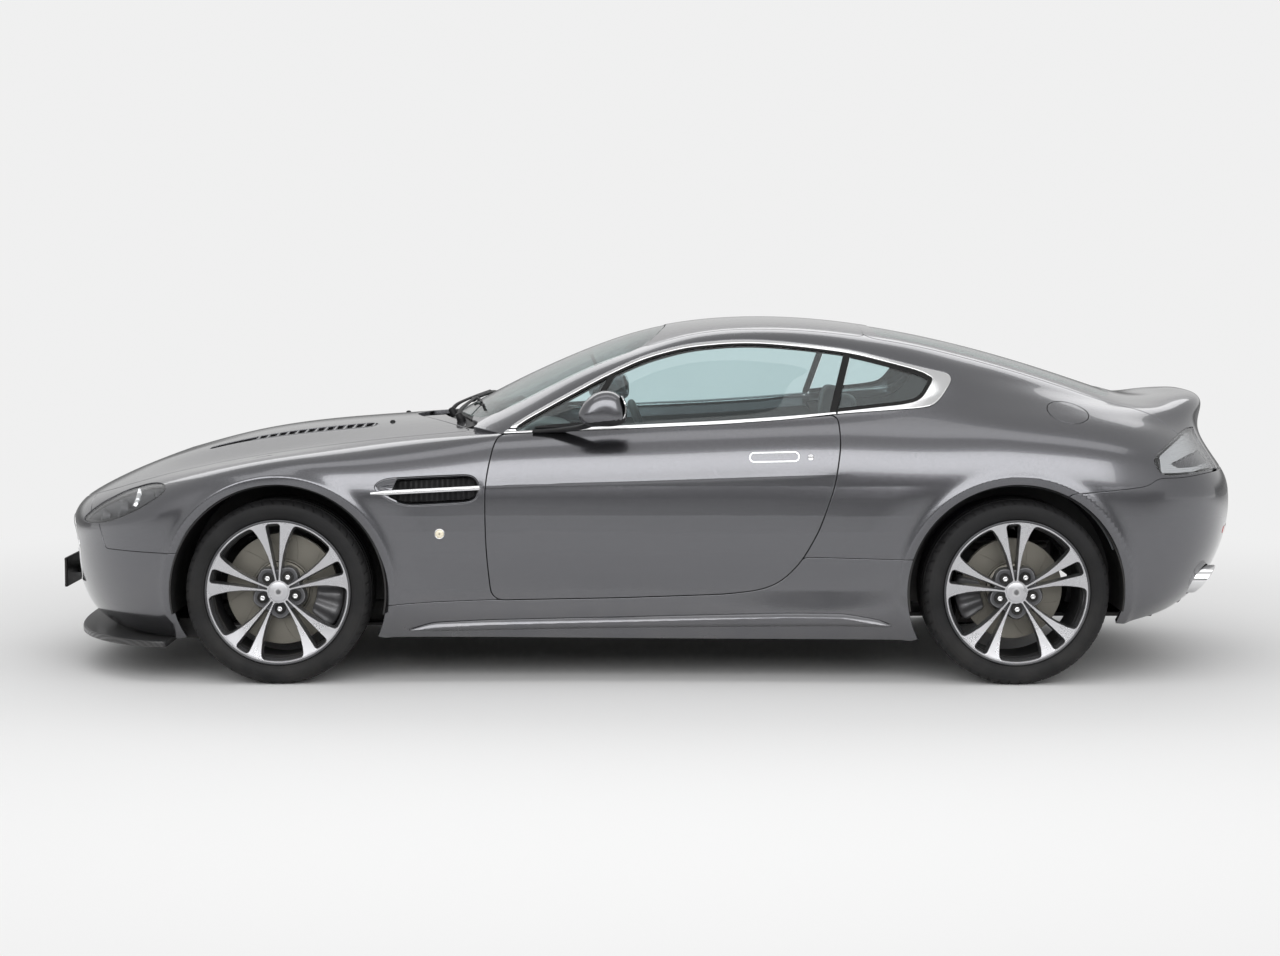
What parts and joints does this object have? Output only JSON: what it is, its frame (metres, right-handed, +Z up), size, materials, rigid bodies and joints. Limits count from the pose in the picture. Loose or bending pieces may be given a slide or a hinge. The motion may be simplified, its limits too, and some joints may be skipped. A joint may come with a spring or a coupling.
{
  "type": "grand-touring coupe car",
  "caption": "Low two-door grand-touring coupe with a long bonnet, a fastback hatch and opening doors, bonnet and hatch.",
  "frame": {"origin": "On the ground, under the middle of the bounding box.", "axes": "The nose points to -X and the tail to +X, the car's left side is at -Y, and +Z is up."},
  "size_m": [4.3656, 2.02, 1.2813],
  "materials": {
    "alloy": "turned and lacquered",
    "black": "grained",
    "bright": "polished",
    "glass": "tinted",
    "hide": "grained",
    "lamp": "clear",
    "paint": "satin metallic",
    "steel": "cast",
    "tyre": "matte"
  },
  "bodies": {
    "body": {"underbody": "steel", "body_side_left": "paint", "body_side_right": "paint", "roof_panel": "paint", "sill_skirts": "paint", "front_fenders": "paint", "windscreen": "glass", "quarter_glass": "glass", "front_bumper": "paint", "grille": "black", "splitter": "black", "plate_holder": "black", "rear_bumper": "paint", "headlamps": "lamp", "tail_lamps": "lamp", "cowl_panel": "black", "seats": "hide", "dashboard": "hide", "engine": "steel", "exhaust": "bright", "arch_liners_front": "black", "arch_liners_rear": "black", "suspension_arms": "steel", "rear_axle": "steel", "hub_carriers_rear": "steel"},
    "bonnet_lid": {"bonnet": "paint"},
    "hatch_lid": {"hatch": "paint", "hatch_glass": "glass"},
    "left_door": {"door_left": "paint", "door_glass_left": "glass", "mirror_left": "paint"},
    "right_door": {"door_right": "paint", "door_glass_right": "glass", "mirror_right": "paint"},
    "fuel_lid": {"fuel_flap": "paint"},
    "wheel_rim": {"steering_wheel": "hide"},
    "left_knuckle": {"knuckle_front_left": "steel"},
    "right_knuckle": {"knuckle_front_right": "steel"},
    "front_left_wheel": {"rim_front_left": "alloy", "tyre_front_left": "tyre"},
    "front_right_wheel": {"rim_front_right": "alloy", "tyre_front_right": "tyre"},
    "rear_left_wheel": {"rim_rear_left": "alloy", "tyre_rear_left": "tyre"},
    "rear_right_wheel": {"rim_rear_right": "alloy", "tyre_rear_right": "tyre"}
  },
  "joints": [
    {"name": "left_door_hinge", "type": "hinge", "parent": "body", "child": "left_door", "pos_m": [-0.455, -0.848, 0.6], "axis": [0, -0.0349, -0.9994], "range_deg": [0, 65]},
    {"name": "right_door_hinge", "type": "hinge", "parent": "body", "child": "right_door", "pos_m": [-0.455, 0.848, 0.6], "axis": [0, -0.0349, 0.9994], "range_deg": [0, 65]},
    {"name": "bonnet_hinge", "type": "hinge", "parent": "body", "child": "bonnet_lid", "pos_m": [-0.6, 0, 0.872], "axis": [0, 1, 0], "range_deg": [0, 45]},
    {"name": "hatch_hinge", "type": "hinge", "parent": "body", "child": "hatch_lid", "pos_m": [0.806, 0, 1.25066], "axis": [0, -1, 0], "range_deg": [0, 65]},
    {"name": "fuel_flap_hinge", "type": "hinge", "parent": "body", "child": "fuel_lid", "pos_m": [1.4335, -0.7367, 0.97771], "axis": [0, -0.8956, -0.4449], "range_deg": [0, 80]},
    {"name": "steering_turn", "type": "hinge", "parent": "body", "child": "wheel_rim", "pos_m": [0.02, -0.36, 0.8], "axis": [0.9272, 0, 0.3746], "range_deg": [-480, 480]},
    {"name": "left_steer", "type": "hinge", "parent": "body", "child": "left_knuckle", "pos_m": [-1.29, -0.718, 0.327], "axis": [0, 0, 1], "range_deg": [-31, 31]},
    {"name": "right_steer", "type": "hinge", "parent": "body", "child": "right_knuckle", "pos_m": [-1.29, 0.718, 0.327], "axis": [0, 0, 1], "range_deg": [-31, 31]},
    {"name": "front_left_spin", "type": "hinge", "parent": "left_knuckle", "child": "front_left_wheel", "pos_m": [-1.29, -0.785, 0.327], "axis": [0, 1, 0], "continuous": true},
    {"name": "front_right_spin", "type": "hinge", "parent": "right_knuckle", "child": "front_right_wheel", "pos_m": [-1.29, 0.785, 0.327], "axis": [0, 1, 0], "continuous": true},
    {"name": "rear_left_spin", "type": "hinge", "parent": "body", "child": "rear_left_wheel", "pos_m": [1.31, -0.78, 0.327], "axis": [0, 1, 0], "continuous": true},
    {"name": "rear_right_spin", "type": "hinge", "parent": "body", "child": "rear_right_wheel", "pos_m": [1.31, 0.78, 0.327], "axis": [0, 1, 0], "continuous": true}
  ],
  "couplings": [
    {"joint": "left_steer", "follows": "steering_turn", "ratio": 0.0645},
    {"joint": "right_steer", "follows": "steering_turn", "ratio": 0.0645}
  ]
}
